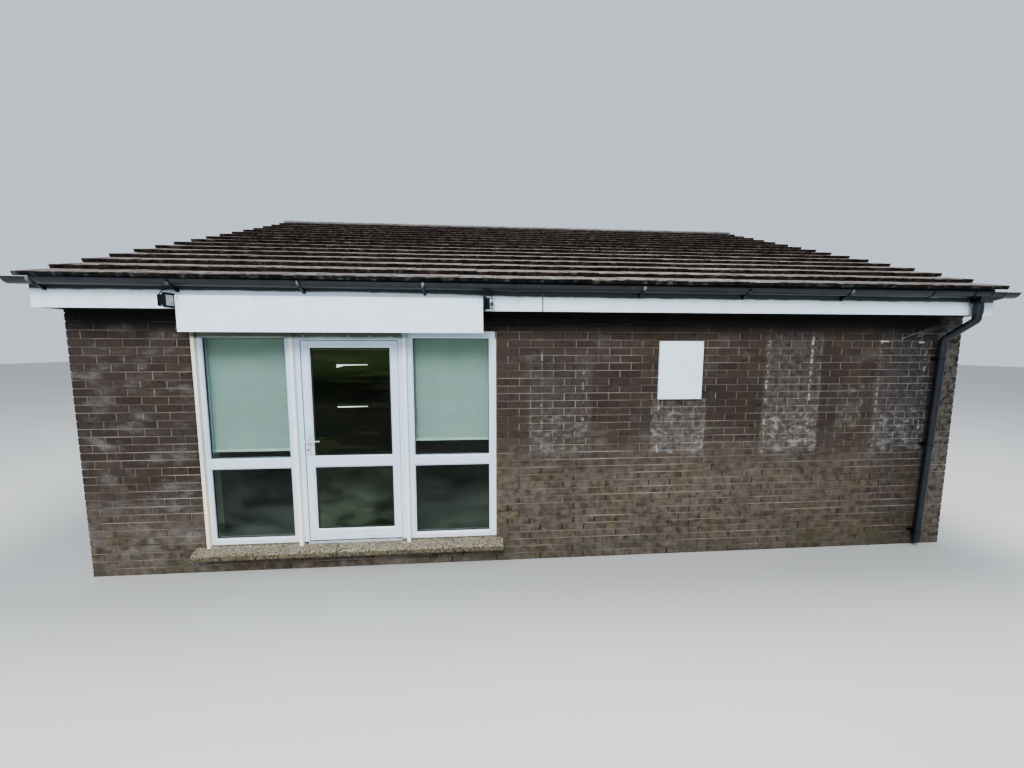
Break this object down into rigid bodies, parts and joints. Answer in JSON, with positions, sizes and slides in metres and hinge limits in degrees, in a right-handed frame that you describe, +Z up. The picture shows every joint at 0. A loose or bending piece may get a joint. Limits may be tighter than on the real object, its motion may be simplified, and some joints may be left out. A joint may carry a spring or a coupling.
{
  "type": "corner shop building",
  "caption": "Single-storey brick corner shop with a tiled gable roof, a white glazed shopfront with one door, a sign panel over it, gutters and downpipes.",
  "frame": {"origin": "ground level under the middle of the walls, on the flat underside", "axes": "+X to the right along the shop front, +Y from the front to the back, +Z up"},
  "size_m": [9.1112, 9.158, 4.6295],
  "materials": {
    "brick": "rough",
    "concrete": "rough",
    "plasterboard": "matt",
    "roof_tile": "rough",
    "ridge_tile": "rough",
    "cement_board": "rough",
    "white_upvc": "satin",
    "grey_trim": "satin",
    "black_upvc": "satin",
    "glass": "polished",
    "aluminium": "mill",
    "hinge_metal": "gloss",
    "handle_metal": "gloss",
    "sign_panel": "satin",
    "black_metal": "satin",
    "cable": "matt",
    "blind_tube": "satin",
    "blind_fabric": "matt",
    "white_bar": "satin"
  },
  "bodies": {
    "building": {"back_wall": "brick", "blind_bars": "white_bar", "blind_rollers": "blind_tube", "blind_sheets": "blind_fabric", "box_ends": "white_upvc", "ceiling": "plasterboard", "coupler_covers": "white_upvc", "couplers": "white_upvc", "door_head": "white_upvc", "door_jambs": "white_upvc", "door_threshold": "aluminium", "downpipe_sockets": "black_upvc", "downpipes": "black_upvc", "fascia_trims": "grey_trim", "fascias": "white_upvc", "floodlight_leads": "cable", "floodlights": "black_metal", "floor_slab": "concrete", "front_wall_left": "brick", "front_wall_over_shopfront": "brick", "front_wall_right": "brick", "front_wall_under_shopfront": "brick", "gutter_brackets": "black_upvc", "gutter_unions": "black_upvc", "gutters": "black_upvc", "jamb_hinges": "hinge_metal", "left_gable_wall": "brick", "left_window_frame": "white_upvc", "pipe_clips": "black_upvc", "ridge_tiles": "ridge_tile", "right_gable_wall": "brick", "right_window_frame": "white_upvc", "roof_back": "roof_tile", "roof_front": "roof_tile", "side_posts": "white_upvc", "sign_board": "sign_panel", "sill_slabs": "concrete", "soffits": "white_upvc", "undercloaks": "cement_board", "wall_plaque": "sign_panel", "window_glass": "glass"},
    "door": {"door_leaf": "white_upvc", "door_glass": "glass", "door_hinges": "hinge_metal", "door_handles": "handle_metal"}
  },
  "joints": [
    {"name": "door_hinge", "type": "hinge", "parent": "building", "child": "door", "pos_m": [-1.5025, -4.176, 1.27], "axis": [0, 0, -1], "range_deg": [0, 90]}
  ]
}
